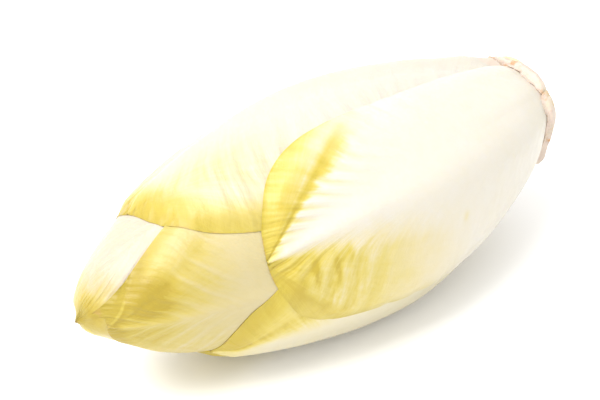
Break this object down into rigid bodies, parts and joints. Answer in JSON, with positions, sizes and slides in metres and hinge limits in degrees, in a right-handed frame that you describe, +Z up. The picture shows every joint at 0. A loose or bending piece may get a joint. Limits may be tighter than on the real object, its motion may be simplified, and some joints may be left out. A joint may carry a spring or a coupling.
{
  "type": "belgian endive",
  "caption": "Closed head of Belgian endive lying on its side: pale pointed leaves wrapped one over another round a core, with a trimmed base.",
  "frame": {"origin": "middle of the footprint of the head's bounding box, on the surface that it lies on", "axes": "+X along the head towards the cut base, with the tip at -X; +Z up; -Y towards the side of the outermost leaf"},
  "size_m": [0.132, 0.061, 0.0556],
  "materials": {
    "outer_leaf": "fresh leaf: waxy, white along the rib, yellow towards the tip and margins",
    "heart_leaf": "tender inner leaf: moist, pale cream, light yellow at the tip",
    "trimmed_leaf": "dry leaf base: matt, cream with a browned cut edge",
    "core": "cut core: matt, cream flesh browned by the air"
  },
  "bodies": {
    "root": {"core_stem": "core", "leaf_01_outer_front": "outer_leaf", "leaf_02_outer_back": "outer_leaf", "leaf_03_under": "outer_leaf", "leaf_04_top": "outer_leaf", "leaf_05_back": "outer_leaf", "leaf_06_front_tip": "outer_leaf", "leaf_07_tip_hood": "outer_leaf", "leaf_08_tip_lining": "outer_leaf", "leaf_09_heart": "heart_leaf", "leaf_10_heart": "heart_leaf", "leaf_11_heart": "heart_leaf", "leaf_12_heart": "heart_leaf", "leaf_13_heart": "heart_leaf", "leaf_14_heart": "heart_leaf", "leaf_15_heart": "heart_leaf", "leaf_stump_top": "trimmed_leaf", "leaf_stump_front": "trimmed_leaf", "leaf_stump_back": "trimmed_leaf"}
  },
  "joints": []
}
